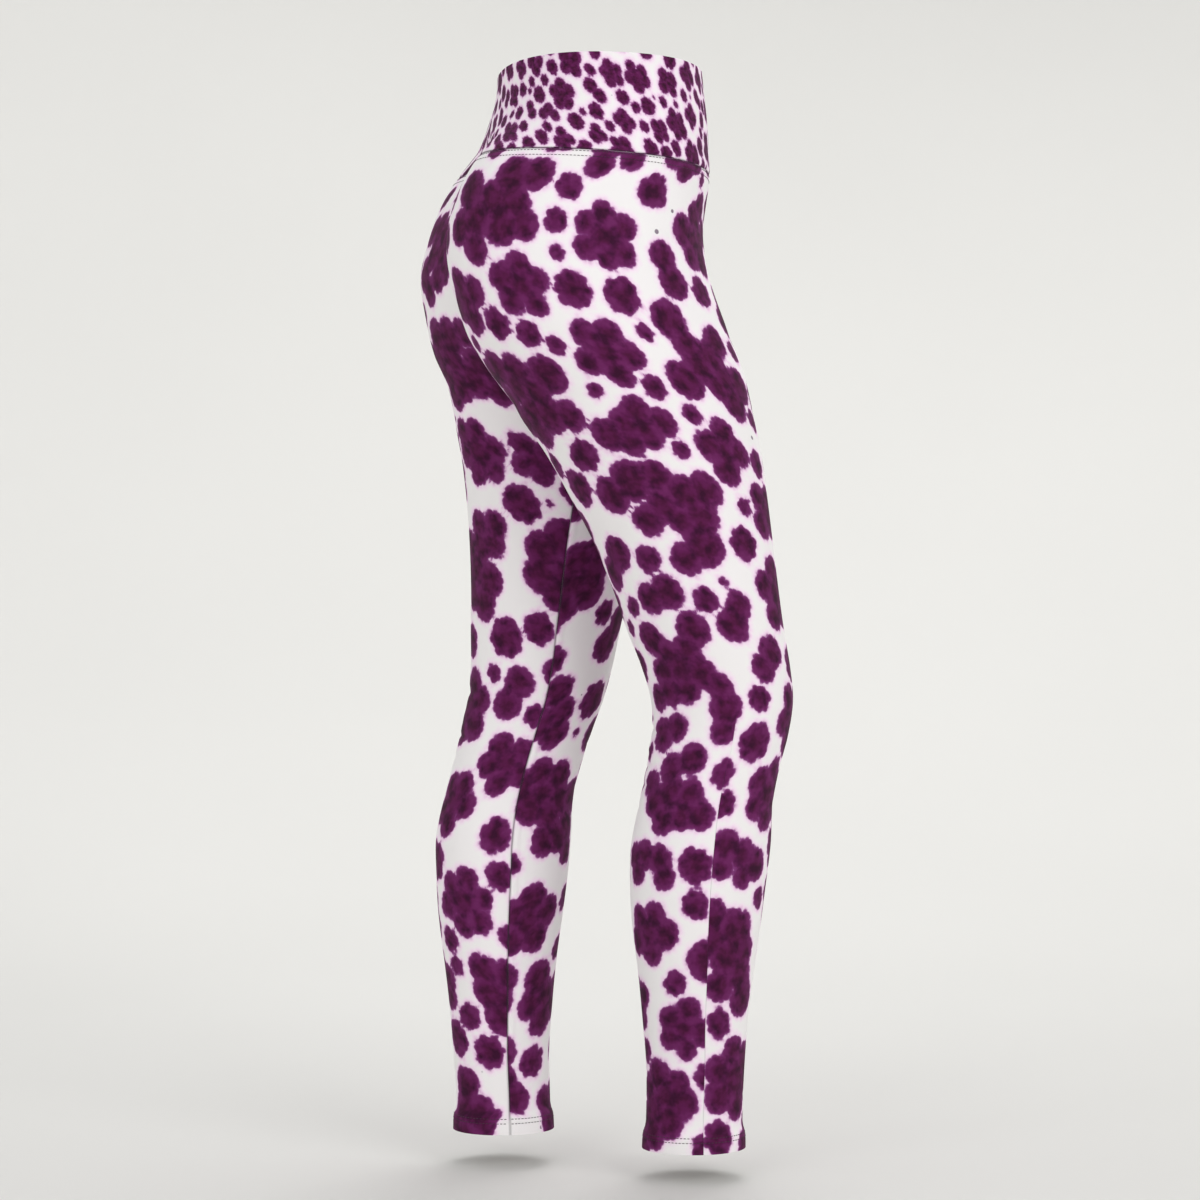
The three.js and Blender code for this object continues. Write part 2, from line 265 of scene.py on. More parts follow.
class Outline:
    """The garment's outline at each of these heights, before the stride. x is the distance from the middle plane."""

    def __init__(self, height):
        self.height = height
        self.leg = at(LEG_COLUMNS, LEG, height)
        self.hips = at(HIP_COLUMNS, HIPS, np.maximum(height, CROTCH))
        self.centre = (self.leg["inner"] + self.leg["outer"]) / 2
        self.width = (self.leg["outer"] - self.leg["inner"]) / 2

    def leg_value(self, x, y):
        """Grows outward through 0 at one leg's outline."""
        reach = np.hypot((x - self.centre) / self.width, (y - self.leg["middle"]) / self.leg["half_depth"])
        return (reach - 1) * np.sqrt(self.width * self.leg["half_depth"])

    def hip_value(self, x, y):
        """Grows outward through 0 at the outline round both hips."""
        hips = self.hips
        middle = (hips["front"] + hips["back"]) / 2
        depth = (hips["back"] - hips["front"]) / 2
        across = np.abs(x / hips["half_width"]) ** HIP_SQUARENESS
        along = np.abs((y - middle) / depth) ** HIP_SQUARENESS
        return ((across + along) ** (1 / HIP_SQUARENESS) - 1) * np.sqrt(hips["half_width"] * depth)

    def value(self, x, y):
        """Both legs, the cloth bridging the valley between them, and the hips as far as the cloth follows them."""
        own, other = self.leg_value(x, y), self.leg_value(-x, y)
        frontness = smoothstep((self.leg["middle"] - y) / self.leg["half_depth"], -1, 1)
        follow = lerp(self.hips["follow_back"], self.hips["follow_front"], frontness)
        bridge = np.maximum(lerp(self.hips["bridge_back"], self.hips["bridge_front"], frontness), 1e-6)
        closeness = np.maximum(bridge - np.abs(own - other), 0) / bridge
        legs = np.minimum(own, other) - closeness**2 * bridge / 4
        return np.where(self.height <= CROTCH, own, lerp(legs, self.hip_value(x, y), follow))

    def edge(self, point, limit):
        """How far out along a ray the cloth is, looking no further than a limit."""
        near = np.zeros_like(self.height)
        far = near + limit
        for _ in range(34):
            reach = (near + far) / 2
            inside = self.value(*point(reach)) < 0
            near, far = np.where(inside, reach, near), np.where(inside, far, reach)
        return near

    def point(self, turn):
        """The cloth at a turn, which is 0 at the inner thigh and runs through the front, the outside and the back."""
        across, along = np.cos(turn), np.sin(turn)
        limit = np.minimum(np.where(across > 1e-6, self.centre / np.maximum(across, 1e-6), FAR_OUT), FAR_OUT)
        ray = lambda reach: (self.centre - across * reach, self.leg["middle"] - along * reach)
        return ray(self.edge(ray, limit))

    def seam_turn(self, way):
        """Where the outline meets the middle seam, in front (way 1) or behind (way -1)."""
        ray = lambda reach: (SEAM_GAP / 2, self.leg["middle"] - way * reach)
        turn = np.arctan2(self.edge(ray, FAR_OUT), self.centre - SEAM_GAP / 2)
        return np.where(self.height <= CROTCH, SEAM_GAP / 2 / self.leg["half_depth"], turn)


def worn(side, x, y, height):
    """A plain point in its worn place, in mm: the step forward (side -1, the right leg) or back, and the tilt."""
    free = smoothstep(CROTCH - height, 0, STRIDE_FREE)
    taken = np.maximum(smoothstep(x, 0, STRIDE_SPREAD), free)
    stepped = y + side * at(LEG_COLUMNS, LEG, height)["stride"] * taken
    at_waist = lerp(SEAM_TILT, TOP_TILT, (height - BAND_FOOT) / (BAND_TOP - BAND_FOOT))
    tilt = np.where(height > BAND_FOOT, at_waist, SEAM_TILT * smoothstep(height, TILT_FADES_AT, BAND_FOOT))
    return np.stack([side * x, stepped, height + tilt * y - HELD_AT], axis=-1)


def outward(points, side):
    """Unit normals of a grid of points [row, column], whose columns run from front to back on leg `side`."""
    normal = np.cross(np.gradient(points, axis=1), np.gradient(points, axis=0)) * side
    return normal / np.maximum(np.linalg.norm(normal, axis=-1, keepdims=True), 1e-9)


def lengths_along(points, axis):
    """Length along a grid's rows (axis 1) or columns (axis 0), from its start."""
    steps = np.linalg.norm(np.diff(points, axis=axis), axis=-1)
    return np.insert(np.cumsum(steps, axis=axis), 0, 0, axis=axis)


def steps(*spans):
    """Values through several spans, each with its end and its step."""
    values = [spans[0][0]]
    for end, step in spans[1:]:
        count = max(1, round(abs(end - values[-1]) / step))
        values.extend(np.linspace(values[-1], end, count + 1)[1:])
    return np.array(values)


def groove(distance, width, depth):
    """A soft trough beside a line, width being its half width."""
    return -depth * np.exp(-((distance / width) ** 2))


def crease_relief(side, along, height):
    """How far the creases of a leg or of the waistband move its cloth outward."""
    relief = np.zeros_like(along)
    for row in CREASES:
        crease = dict(zip(CREASE_COLUMNS, row))
        if crease["side"] != side:
            continue
        angle = math.radians(crease["tilt"])
        off, up = along - crease["along"], height - crease["height"]
        run = (off * math.cos(angle) + up * math.sin(angle)) / crease["half_length"]
        across = up * math.cos(angle) - off * math.sin(angle) - crease["bow"] * (1 - run**2)
        fade = np.clip(1 - run**2, 0, 1) ** 1.5
        relief += groove(across, crease["half_width"], crease["depth"]) * fade
    return relief


def blot(rng, kind, across, along):
    """One blot's round petals, as place and radius."""
    count, radius = rng.randint(*kind["petals"]), rng.uniform(*kind["radius"])
    if kind["kind"] != "cluster":
        # A flower's petals are as large as the blot's radius and stand round a small head. A bud's are small and
        # fringe a head nearly as large as the whole.
        if kind["kind"] == "flower":
            ring, head, size = radius * 1.62 / (2 * math.sin(math.pi / count)), 0.76, radius
        else:
            ring, head, size = radius * 0.64, 1.3, radius * 0.37
        petals = [(across, along, ring * head)]
        first = rng.uniform(0, 2 * math.pi)
        for k in range(count):
            turn = first + 2 * math.pi * (k + rng.uniform(-0.1, 0.1)) / count
            away, petal = ring * rng.uniform(0.93, 1.07), size * rng.uniform(0.86, 1.1)
            petals.append((across + math.cos(turn) * away, along + math.sin(turn) * away, petal))
        return petals
    petals = [(across, along, radius)]
    for _ in range(count - 1):
        # The next petal overlaps one that is there, and the nearest to the middle of a few is taken.
        choices = []
        for _ in range(7):
            x, y, r = rng.choice(petals)
            turn, size = rng.uniform(0, 2 * math.pi), radius * rng.uniform(0.82, 1.12)
            away = (r + size) / 2 * rng.uniform(1.3, 1.6)
            x, y = x + math.cos(turn) * away, y + math.sin(turn) * away
            if min(math.hypot(x - p[0], y - p[1]) / (p[2] + size) for p in petals) > 0.6:
                apart = math.hypot(x - across, y - along) / radius
                choices.append((apart + rng.uniform(0, 0.8), (x, y, size)))
        if choices:
            petals.append(min(choices)[1])
    return petals


def blot_petals(width, length, scale, seed, kinds=BLOTS):
    """The petals of a blotted print on cloth of this size, in mm, as rows of place and radius. It is a seeded layout
    of its own, in which each new blot keeps clear of those before it."""
    rng = random.Random(seed)
    width, length = width / scale, length / scale
    taken = np.empty((0, 3))
    for row in kinds:
        kind = dict(zip(BLOT_COLUMNS, row))
        for _ in range(round(kind["tries"] * width * length / TRIES_AREA)):
            across, along = rng.uniform(-width / 2, width / 2), rng.uniform(0, length)
            away = np.hypot(taken[:, 0] - across, taken[:, 1] - along)
            if np.any(away < taken[:, 2] + kind["radius"][0]):
                continue
            petals = np.array(blot(rng, kind, across, along))
            apart = np.hypot(taken[:, None, 0] - petals[None, :, 0], taken[:, None, 1] - petals[None, :, 1])
            if not np.any(apart < taken[:, None, 2] + petals[None, :, 2] + kind["gap"]):
                taken = np.vstack([taken, petals])
    return taken * scale


def print_distance(flat, petals, scale, lengthening):
    """How far each place of the flat cloth is from the nearest blot, in mm, negative inside one. A blot's petals keep
    their notches at its edge and run together inside, as dye does."""
    x, y = flat[:, 0] / MM, flat[:, 1] / MM / lengthening
    ripple, sway = 0.5 * scale, 7 * scale
    x, y = (
        x + ripple * (np.sin(y / sway + 1.3) + 0.6 * np.sin((x + y) / (0.61 * sway))),
        y + ripple * (np.sin(x / sway + 0.4) + 0.6 * np.sin((x - y) / (0.57 * sway) + 2)),
    )
    crisp, soft = 0.35 * scale, 2.5 * scale
    crisp_total = np.full(len(flat), math.exp(-PETAL_REACH / crisp))
    soft_total = np.full(len(flat), math.exp(-PETAL_REACH / soft))
    for across, along, radius in petals:
        reach = radius + PETAL_REACH
        near = (np.abs(x - across) < reach) & (np.abs(y - along) < reach)
        inside = radius - np.hypot(x[near] - across, y[near] - along)
        crisp_total[near] += np.exp(inside / crisp)
        soft_total[near] += np.exp(inside / soft)
    edge, middle = -crisp * np.log(crisp_total), -soft * np.log(soft_total)
    return lerp(edge, middle, smoothstep(-edge, 0, 3.5 * scale))


def cloth_piece(name, points, flat, petals, print_size, seam, flip, slit=None):
    """A piece of printed cloth on a grid of points [row, column], in mm, with its flat place as UV, in metres.
    print_size is the print's scale and lengthening, and seam each point's distance from the nearest seam. slit opens
    a column below a row: (column, row, shift, take) with how far each edge moves from the cut, and how much cloth the
    seam takes up, by row."""
    rows, columns = points.shape[:2]
    bm = bmesh.new()
    bmesh.ops.create_grid(bm, x_segments=columns - 1, y_segments=rows - 1, size=1)
    place = lambda vert: (
        round((vert.co.y + 1) / 2 * (rows - 1)),
        round((vert.co.x + 1) / 2 * (columns - 1)),
    )
    if slit:
        in_cut = lambda vert: place(vert)[1] == slit[0] and place(vert)[0] <= slit[1]
        cut = [e for e in bm.edges if in_cut(e.verts[0]) and in_cut(e.verts[1])]
        bmesh.ops.split_edges(bm, edges=cut)
    spots, co, uv, seams = [], [], [], []
    for vert in bm.verts:
        row, column = place(vert)
        point, unrolled = points[row, column].copy(), flat[row, column].copy()
        if slit and column == slit[0] and row < slit[1]:
            beside = sum(f.calc_center_median().x for f in vert.link_faces) / len(vert.link_faces)
            away = 1 if beside > vert.co.x else -1
            point += away * slit[2]
            unrolled[0] += away * slit[3][row] / 2 * MM
        elif slit:
            unrolled[0] += np.sign(column - slit[0]) * slit[3][row] / 2 * MM
        co.append(point * MM)
        uv.append(unrolled)
        seams.append(seam[row, column])
    for vert, point in zip(bm.verts, co):
        vert.co = point
    bm.verts.index_update()
    layer = bm.loops.layers.uv.new("cloth")
    for face in bm.faces:
        face.smooth = True
        for loop in face.loops:
            loop[layer].uv = uv[loop.vert.index]
    if flip:
        bmesh.ops.reverse_faces(bm, faces=bm.faces)
    mesh = bpy.data.meshes.new(name)
    bm.to_mesh(mesh)
    bm.free()
    printed = print_distance(np.array(uv), petals, *print_size)
    for title, values in (("print", printed), ("seam", np.array(seams))):
        mesh.attributes.new(title, "FLOAT", "POINT").data.foreach_set("value", values.astype(np.float32))
    piece = bpy.data.objects.new(name, mesh)
    bpy.context.scene.collection.objects.link(piece)
    return piece


def leg_cloth(side):
    """One leg panel's outer face as a grid in mm, from the hem up and from the front edge round to the back edge."""
    hem = HEMS[side]
    hem_top = hem + HEM_DEPTH
    # The rows lie close together at the hem, at the crotch and under the waist seam.
    levels = steps((hem,), (hem_top + HEM_FLARE_LENGTH, 1.25), (CROTCH - 12, 3.8), (CROTCH + 14, 1.9),
                   (BAND_FOOT - 11, 3.5), (BAND_FOOT - SEAM_GAP, 1.1))
    share = np.linspace(0, 1, LEG_COLUMNS_OF_POINTS)
    around = 2 * share - 0.4 / (2 * math.pi) * np.sin(4 * math.pi * share)  # closer beside the seams
    height, around = np.meshgrid(levels, around, indexing="ij")
    outline = Outline(height)
    turn = np.where(
        around < 1,
        math.pi * around + outline.seam_turn(1) * (1 - around) ** 2,
        math.pi * around - outline.seam_turn(-1) * (around - 1) ** 2,
    )
    flare = HEM_FLARE * (1 - smoothstep(height, hem_top - HEM_FLARE_LENGTH, hem_top + HEM_FLARE_LENGTH))
    x, y = outline.point(turn)
    x = np.maximum(x - flare * np.cos(turn), SEAM_GAP / 2)
    points = worn(side, x, y - flare * np.sin(turn), height)
    middle = points.shape[1] // 2
    along = lengths_along(points, 1)
    from_front, from_back = along, along[:, -1:] - along
    along = along - along[:, middle : middle + 1]
    # The seam allowance lies under the front edge as a soft ridge, and the cloth dips into each seam.
    ridge = 0.8 * smoothstep(from_front, 0, 1.6) * (1 - smoothstep(from_front, 4.5, 7.5))
    relief = ridge + groove(from_front, 1.3, 0.5) + groove(from_back, 1.8, 0.6)
    below = BAND_FOOT - SEAM_GAP - height
    upper, lower = WAIST_STITCH_LINES
    relief += groove(below, 2.4, 0.8) + groove(below - upper, 0.9, 0.25) + groove(below - lower, 0.9, 0.3)
    shaping_seam = 1 - smoothstep(height, SHAPING_SEAM_TOP - 60, SHAPING_SEAM_TOP - 15)
    relief += groove(along, 1.5, 0.25) * shaping_seam
    for line in HEM_STITCH_LINES:
        relief += groove(height - hem - line, 1.2, 0.35)
    relief += groove(height - hem_top - 1, 1.6, 0.3)
    edges = smoothstep(np.minimum(from_front, from_back), 0, 12) * smoothstep(below, 0, 10)
    relief += crease_relief(side, along, height) * edges
    points = points + outward(points, side) * relief[..., None]
    points[..., 0] = side * np.maximum(side * points[..., 0], SEAM_GAP / 2)
    seam = np.minimum(np.minimum(from_front, from_back), below)
    # The shaping seam's line of painted shadow is fainter than the others and fades out at its top.
    fades = 0.9 + 2 * smoothstep(height, SHAPING_SEAM_TOP - 70, SHAPING_SEAM_TOP - 20)
    seam = np.minimum(seam, np.abs(along) + fades)
    down = lengths_along(points, 0)[:, middle : middle + 1]
    down = down + 0 * along
    return {"levels": levels, "points": points, "along": along, "down": down, "seam": seam}


def band_cloth():
    """The waistband's section as a grid in mm: up its outer face, over the fold and down the inner face, from the
    centre back round the left side and the front to the centre back."""
    fold = BAND_CLOTH / 2
    rise = steps((BAND_FOOT,), (BAND_FOOT + 5, 0.9), (BAND_TOP - fold, 1.8))
    bends = np.linspace(0, math.pi, 9)[1:-1]
    fall = steps((BAND_TOP - fold,), (BAND_FOOT, 5.5))
    tuck = 0.8 * np.exp(-(((rise - BAND_FOOT) / 2.0) ** 2))
    levels = np.concatenate([rise, BAND_TOP - fold + fold * np.sin(bends), fall, rise[:1]])
    insets = np.concatenate([tuck, fold - fold * np.cos(bends), np.full(len(fall), BAND_CLOTH), tuck[:1]])
    share = np.linspace(0, 1, BAND_COLUMNS_OF_POINTS)
    height, share = np.meshgrid(levels, share, indexing="ij")
    outline = Outline(height)
    front, back = outline.seam_turn(1), 2 * math.pi - outline.seam_turn(-1)
    outline_x, outline_y = outline.point(lerp(front, back, share))
    tangent = np.stack([np.gradient(outline_x, axis=1), np.gradient(outline_y, axis=1)])
    tangent /= np.linalg.norm(tangent, axis=0)
    ends = smoothstep(share, 0, 0.03) * smoothstep(1 - share, 0, 0.03)
    fade = smoothstep(height, BAND_FOOT + 2, BAND_FOOT + 12) * ends
    halves = []
    for side in (1, -1):
        inset = insets[:, None] - crease_relief(0, side * share * BAND_HALF_ROUND, height) * fade
        x, y = outline_x - tangent[1] * inset, outline_y + tangent[0] * inset
        x[:, 0], x[:, -1] = 0, SEAM_GAP / 2
        halves.append(worn(side, x, y, height))
    points = np.concatenate([halves[0][:, ::-1], halves[1][:, 1:]], axis=1)
    along = lengths_along(points, 1)
    up = np.insert(np.cumsum(np.hypot(np.diff(levels), np.diff(insets))), 0, 0)[:, None] + 0 * along
    seam = np.minimum(np.minimum(along, along[:, -1:] - along), np.abs(height[:, :1] - BAND_FOOT))
    return {"levels": levels, "points": points, "along": along - along[:, -1:] / 2, "down": up, "seam": seam}


def line_across(cloth, level, lift):
    """The points on a leg's cloth at one height, moved out by a lift, and the way out at each."""
    levels, points = cloth["levels"], cloth["points"]
    k = int(np.clip(np.searchsorted(levels, level) - 1, 0, len(levels) - 2))
    t = (level - levels[k]) / (levels[k + 1] - levels[k])
    normal = outward(points, cloth["side"])
    return lerp(points[k], points[k + 1], t) + lift * normal[k], normal[k]


def stitch_run(bm, line, normals, pitch, length, radius):
    """Stitches along a line: short rounded threads that lie on the cloth, a pitch apart."""
    reach = lengths_along(line[None], 1)[0]
    for k in range(int((reach[-1] - pitch) / pitch)):
        middle = (k + 0.8) * pitch
        ends = [np.array([np.interp(middle + d, reach, line[:, axis]) for axis in range(3)]) for d in (-0.5, 0.5)]
        along = Vector(ends[1] - ends[0]).normalized()
        out = Vector([np.interp(middle, reach, normals[:, axis]) for axis in range(3)])
        out = (out - along * out.dot(along)).normalized()
        turned = Matrix((along, out.cross(along), out)).transposed().to_4x4()
        turned.translation = Vector((ends[0] + ends[1]) / 2) * MM
        size = Matrix.Diagonal((length / 2 * MM, radius * MM, radius * 0.8 * MM, 1))
        bmesh.ops.create_uvsphere(bm, u_segments=6, v_segments=4, radius=1,
                                  matrix=turned @ size @ Matrix.Rotation(math.pi / 2, 4, "Y"))


def thread_piece(name, runs):
    """One object of all the stitches in some runs."""
    bm = bmesh.new()
    for run in runs:
        stitch_run(bm, *run, pitch=3.2, length=2.5, radius=0.33)
    for face in bm.faces:
        face.smooth = True
    mesh = bpy.data.meshes.new(name)
    bm.to_mesh(mesh)
    bm.free()
    piece = bpy.data.objects.new(name, mesh)
    bpy.context.scene.collection.objects.link(piece)
    return piece


def srgb(code):
    """A colour as Blender needs it from its sRGB hex value."""
    parts = [int(code[i : i + 2], 16) / 255 for i in (1, 3, 5)]
    return (*(c / 12.92 if c <= 0.04045 else ((c + 0.055) / 1.055) ** 2.4 for c in parts), 1)


def add(tree, kind, inputs=None, **settings):
    """A node with its settings, its values and the sockets that feed it."""
    node = tree.nodes.new(kind)
    for key, value in settings.items():
        setattr(node, key, value)
    for key, value in (inputs or {}).items():
        if isinstance(value, bpy.types.NodeSocket):
            tree.links.new(value, node.inputs[key])
        else:
            node.inputs[key].default_value = value
    return node


def new_material(name):
    material = bpy.data.materials.new(name)
    material.use_nodes = True
    material.node_tree.nodes.clear()
    return material, material.node_tree


def set_stops(ramp, stops):
    """The colours of a ramp, as place and sRGB hex value."""
    elements = ramp.color_ramp.elements
    while len(elements) < len(stops):
        elements.new(0.5)
    for element, (place, code) in zip(elements, stops):
        element.position = place
        element.color = srgb(code)


def knit_height(tree, cloth, wale):
    """The relief of plain knitted jersey: upright wales, spaced in mm, closer courses, and a brushed nap."""
    turn = 2 * math.pi / 20
    wales = add(tree, "ShaderNodeTexWave", {"Vector": cloth, "Scale": turn / (wale * MM), "Distortion": 0.4,
                                            "Detail": 1.0, "Detail Scale": 2.0}, bands_direction="X")
    courses = add(tree, "ShaderNodeTexWave", {"Vector": cloth, "Scale": turn / (wale * 0.8 * MM), "Distortion": 0.4,
                                              "Detail": 1.0, "Detail Scale": 2.0}, bands_direction="Y")
    loops = add(tree, "ShaderNodeMath", {0: wales.outputs["Fac"], 1: courses.outputs["Fac"]}, operation="MULTIPLY")
    nap = add(tree, "ShaderNodeTexNoise", {"Vector": cloth, "Scale": 1 / (0.9 * MM), "Detail": 3.0})
    both = add(tree, "ShaderNodeMath", {0: loops.outputs[0], 1: nap.outputs["Fac"]}, operation="ADD")
    return both.outputs[0]


def printed_jersey(name, scale):
    """Brushed polyester and elastane jersey with a dye print. The face is smooth and matt with a soft sheen at
    grazing angles. The dye bleeds: each blot has a fringed lilac rim, a bright purple edge and a mottled plum
    middle."""
    material, tree = new_material(name)
    cloth = add(tree, "ShaderNodeUVMap", uv_map="cloth").outputs["UV"]
    blots = add(tree, "ShaderNodeAttribute", attribute_name="print").outputs["Fac"]
    seam = add(tree, "ShaderNodeAttribute", attribute_name="seam").outputs["Fac"]
    # The dye's edge runs out in small round scallops, about 5 mm wide on the legs, with a fine fringe.
    cells = add(tree, "ShaderNodeTexVoronoi", {"Vector": cloth, "Scale": 1 / (SCALLOP_WIDTH * scale * MM)})
    scallops = add(tree, "ShaderNodeMath", {0: cells.outputs["Distance"], 1: 2.0}, operation="POWER")
    threads = add(tree, "ShaderNodeTexNoise", {"Vector": cloth, "Scale": 1 / (1.6 * MM), "Detail": 2.0})
    edge = add(tree, "ShaderNodeMath", {0: scallops.outputs[0], 1: SCALLOP_HEIGHT * scale, 2: blots},
               operation="MULTIPLY_ADD")
    edge = add(tree, "ShaderNodeMath", {0: threads.outputs["Fac"], 1: FRINGE_HEIGHT, 2: edge.outputs[0]},
               operation="MULTIPLY_ADD")
    offset = -SCALLOP_HEIGHT * SCALLOP_MEAN * scale - FRINGE_HEIGHT / 2 - CREEP * scale
    depth = add(tree, "ShaderNodeMapRange", {
        "Value": edge.outputs[0], "From Min": -DYE_INSIDE * scale - offset, "From Max": DYE_OUTSIDE - offset,
        "To Min": 0.0, "To Max": 1.0})
    span = DYE_INSIDE * scale + DYE_OUTSIDE
    zero = DYE_INSIDE * scale / span  # the dye's edge on the ramp
    # Away from its edge the dye is uneven, in patches about 11 mm across on the legs: brighter purple where it lies
    # thin, and nearly black where it lies thick.
    patches = add(tree, "ShaderNodeTexNoise", {"Vector": cloth, "Scale": 1 / (11 * scale * MM), "Detail": 2.0,
                                               "Roughness": 0.5})
    inside = add(tree, "ShaderNodeMapRange", {"Value": edge.outputs[0], "From Min": -1.5 * scale - offset,
                                              "From Max": -5 * scale - offset, "To Min": 0.0, "To Max": 1.0})
    thin = add(tree, "ShaderNodeMapRange", {"Value": patches.outputs["Fac"], "From Min": 0.32, "From Max": 0.5,
                                            "To Min": 0.35 * zero, "To Max": 0.0})
    thick = add(tree, "ShaderNodeMapRange", {"Value": patches.outputs["Fac"], "From Min": 0.46, "From Max": 0.66,
                                             "To Min": 0.0, "To Max": 0.8})
    uneven = add(tree, "ShaderNodeMath", {0: thin.outputs["Result"], 1: inside.outputs["Result"],
                                          2: depth.outputs["Result"]}, operation="MULTIPLY_ADD")
    mottle = add(tree, "ShaderNodeMath", {0: thick.outputs["Result"], 1: inside.outputs["Result"]},
                 operation="MULTIPLY")
    dye = add(tree, "ShaderNodeValToRGB", {"Fac": uneven.outputs[0]})
    halo = min(1.0, 0.5 + scale)
    set_stops(dye, [
        (0.0, "#52183f"),
        (zero * 0.4, "#5f1d50"),
        (zero * 0.8, "#6c275e"),
        (zero - 0.5 / span, "#803d78"),
        (zero, "#b277aa"),
        (zero + 0.4 * halo / span, "#e0bada"),
        (zero + 1.0 * halo / span, "#f0d3ea"),
        (zero + 1.9 * halo / span, "#f7e2f3"),
        (zero + 3.0 * halo / span, "#f7ebf4"),
        (zero + 5.4 * halo / span, "#f5f2f3"),
    ])
    dyed = add(tree, "ShaderNodeMix", {"Factor": mottle.outputs[0], "A": dye.outputs["Color"], "B": srgb("#300f27")},
               data_type="RGBA")
    # A few stray specks of dye lie on the white, up to 5 mm wide on the legs, in one place in eight or so.
    places = add(tree, "ShaderNodeTexVoronoi", {"Vector": cloth, "Scale": 1 / (19 * scale * MM)})
    stray = add(tree, "ShaderNodeSeparateColor", {"Color": places.outputs["Color"]})
    size = add(tree, "ShaderNodeMapRange", {"Value": stray.outputs["Red"], "From Min": 0.86, "From Max": 1.0,
                                            "To Min": -0.02, "To Max": 0.14})
    speck = add(tree, "ShaderNodeMath", {0: size.outputs["Result"], 1: places.outputs["Distance"]},
                operation="SUBTRACT")
    speck = add(tree, "ShaderNodeMapRange", {"Value": speck.outputs[0], "From Min": 0.0, "From Max": 0.03,
                                             "To Min": 0.0, "To Max": 0.8})
    white = add(tree, "ShaderNodeMapRange", {"Value": edge.outputs[0], "From Min": 1.0 - offset,
                                             "From Max": 3 - offset, "To Min": 0.0, "To Max": 1.0})
    speck = add(tree, "ShaderNodeMath", {0: speck.outputs["Result"], 1: white.outputs["Result"]},
                operation="MULTIPLY")
    spotted = add(tree, "ShaderNodeMix", {"Factor": speck.outputs[0], "A": dyed.outputs["Result"],
                                          "B": srgb("#5d3f5e")}, data_type="RGBA")
    # Each seam holds a fine line of painted shadow between the two edges: the colour is darkened close to the seam.
    shadow = add(tree, "ShaderNodeMapRange", {"Value": seam, "From Min": 0.2, "From Max": 1.5, "To Min": 0.45,
                                              "To Max": 0.0})
    shaded = add(tree, "ShaderNodeMix", {"Factor": shadow.outputs["Result"], "A": spotted.outputs["Result"],
                                         "B": srgb("#3c3440")}, data_type="RGBA")
    # A real wale is half a millimetre; it is drawn at 0.9 mm so that it shows at all.
    bump = add(tree, "ShaderNodeBump", {"Height": knit_height(tree, cloth, 0.9), "Strength": 0.3,
                                        "Distance": 0.12 * MM})
    surface = add(tree, "ShaderNodeBsdfPrincipled", {
        "Base Color": shaded.outputs["Result"], "Roughness": 0.85, "Specular IOR Level": 0.1, "Sheen Weight": 0.04,
        "Sheen Roughness": 0.45, "Sheen Tint": srgb("#ffffff"), "Normal": bump.outputs["Normal"]})
    add(tree, "ShaderNodeOutputMaterial", {"Surface": surface.outputs["BSDF"]})
    return material


def jersey_reverse():
    """The unprinted back of the same jersey, off-white, the print showing faintly through. It is a little duller and
    rougher than the face."""
    material, tree = new_material("jersey_reverse")
    cloth = add(tree, "ShaderNodeUVMap", uv_map="cloth").outputs["UV"]
    blots = add(tree, "ShaderNodeAttribute", attribute_name="print").outputs["Fac"]
    ghost = add(tree, "ShaderNodeMapRange", {"Value": blots, "From Min": -3.0, "From Max": 2.0, "To Min": 0.28,
                                             "To Max": 0.0})
    colour = add(tree, "ShaderNodeMix", {"Factor": ghost.outputs["Result"], "A": srgb("#e9e8e4"),
                                         "B": srgb("#7b4f7c")}, data_type="RGBA")
    # The back's loops are wider than the face's, and are drawn at 1.1 mm so that they show.
    bump = add(tree, "ShaderNodeBump", {"Height": knit_height(tree, cloth, 1.1), "Strength": 0.4,
                                        "Distance": 0.15 * MM})
    surface = add(tree, "ShaderNodeBsdfPrincipled", {
        "Base Color": colour.outputs["Result"], "Roughness": 0.9, "Specular IOR Level": 0.25, "Sheen Weight": 0.15,
        "Normal": bump.outputs["Normal"]})
    add(tree, "ShaderNodeOutputMaterial", {"Surface": surface.outputs["BSDF"]})
    return material


def sewing_thread():
    """Spun polyester thread, plum, its twist as fine unevenness in colour and relief, with a dull gleam."""
    material, tree = new_material("sewing_thread")
    place = add(tree, "ShaderNodeTexCoord").outputs["Object"]
    twist = add(tree, "ShaderNodeTexNoise", {"Vector": place, "Scale": 1 / (0.5 * MM), "Detail": 2.0})
    colour = add(tree, "ShaderNodeValToRGB", {"Fac": twist.outputs["Fac"]})
    set_stops(colour, [(0.3, "#35212f"), (0.7, "#503a49")])
    bump = add(tree, "ShaderNodeBump", {"Height": twist.outputs["Fac"], "Strength": 0.5, "Distance": 0.1 * MM})
    surface = add(tree, "ShaderNodeBsdfPrincipled", {
        "Base Color": colour.outputs["Color"], "Roughness": 0.65, "Specular IOR Level": 0.2,
        "Normal": bump.outputs["Normal"]})
    add(tree, "ShaderNodeOutputMaterial", {"Surface": surface.outputs["BSDF"]})
    return material


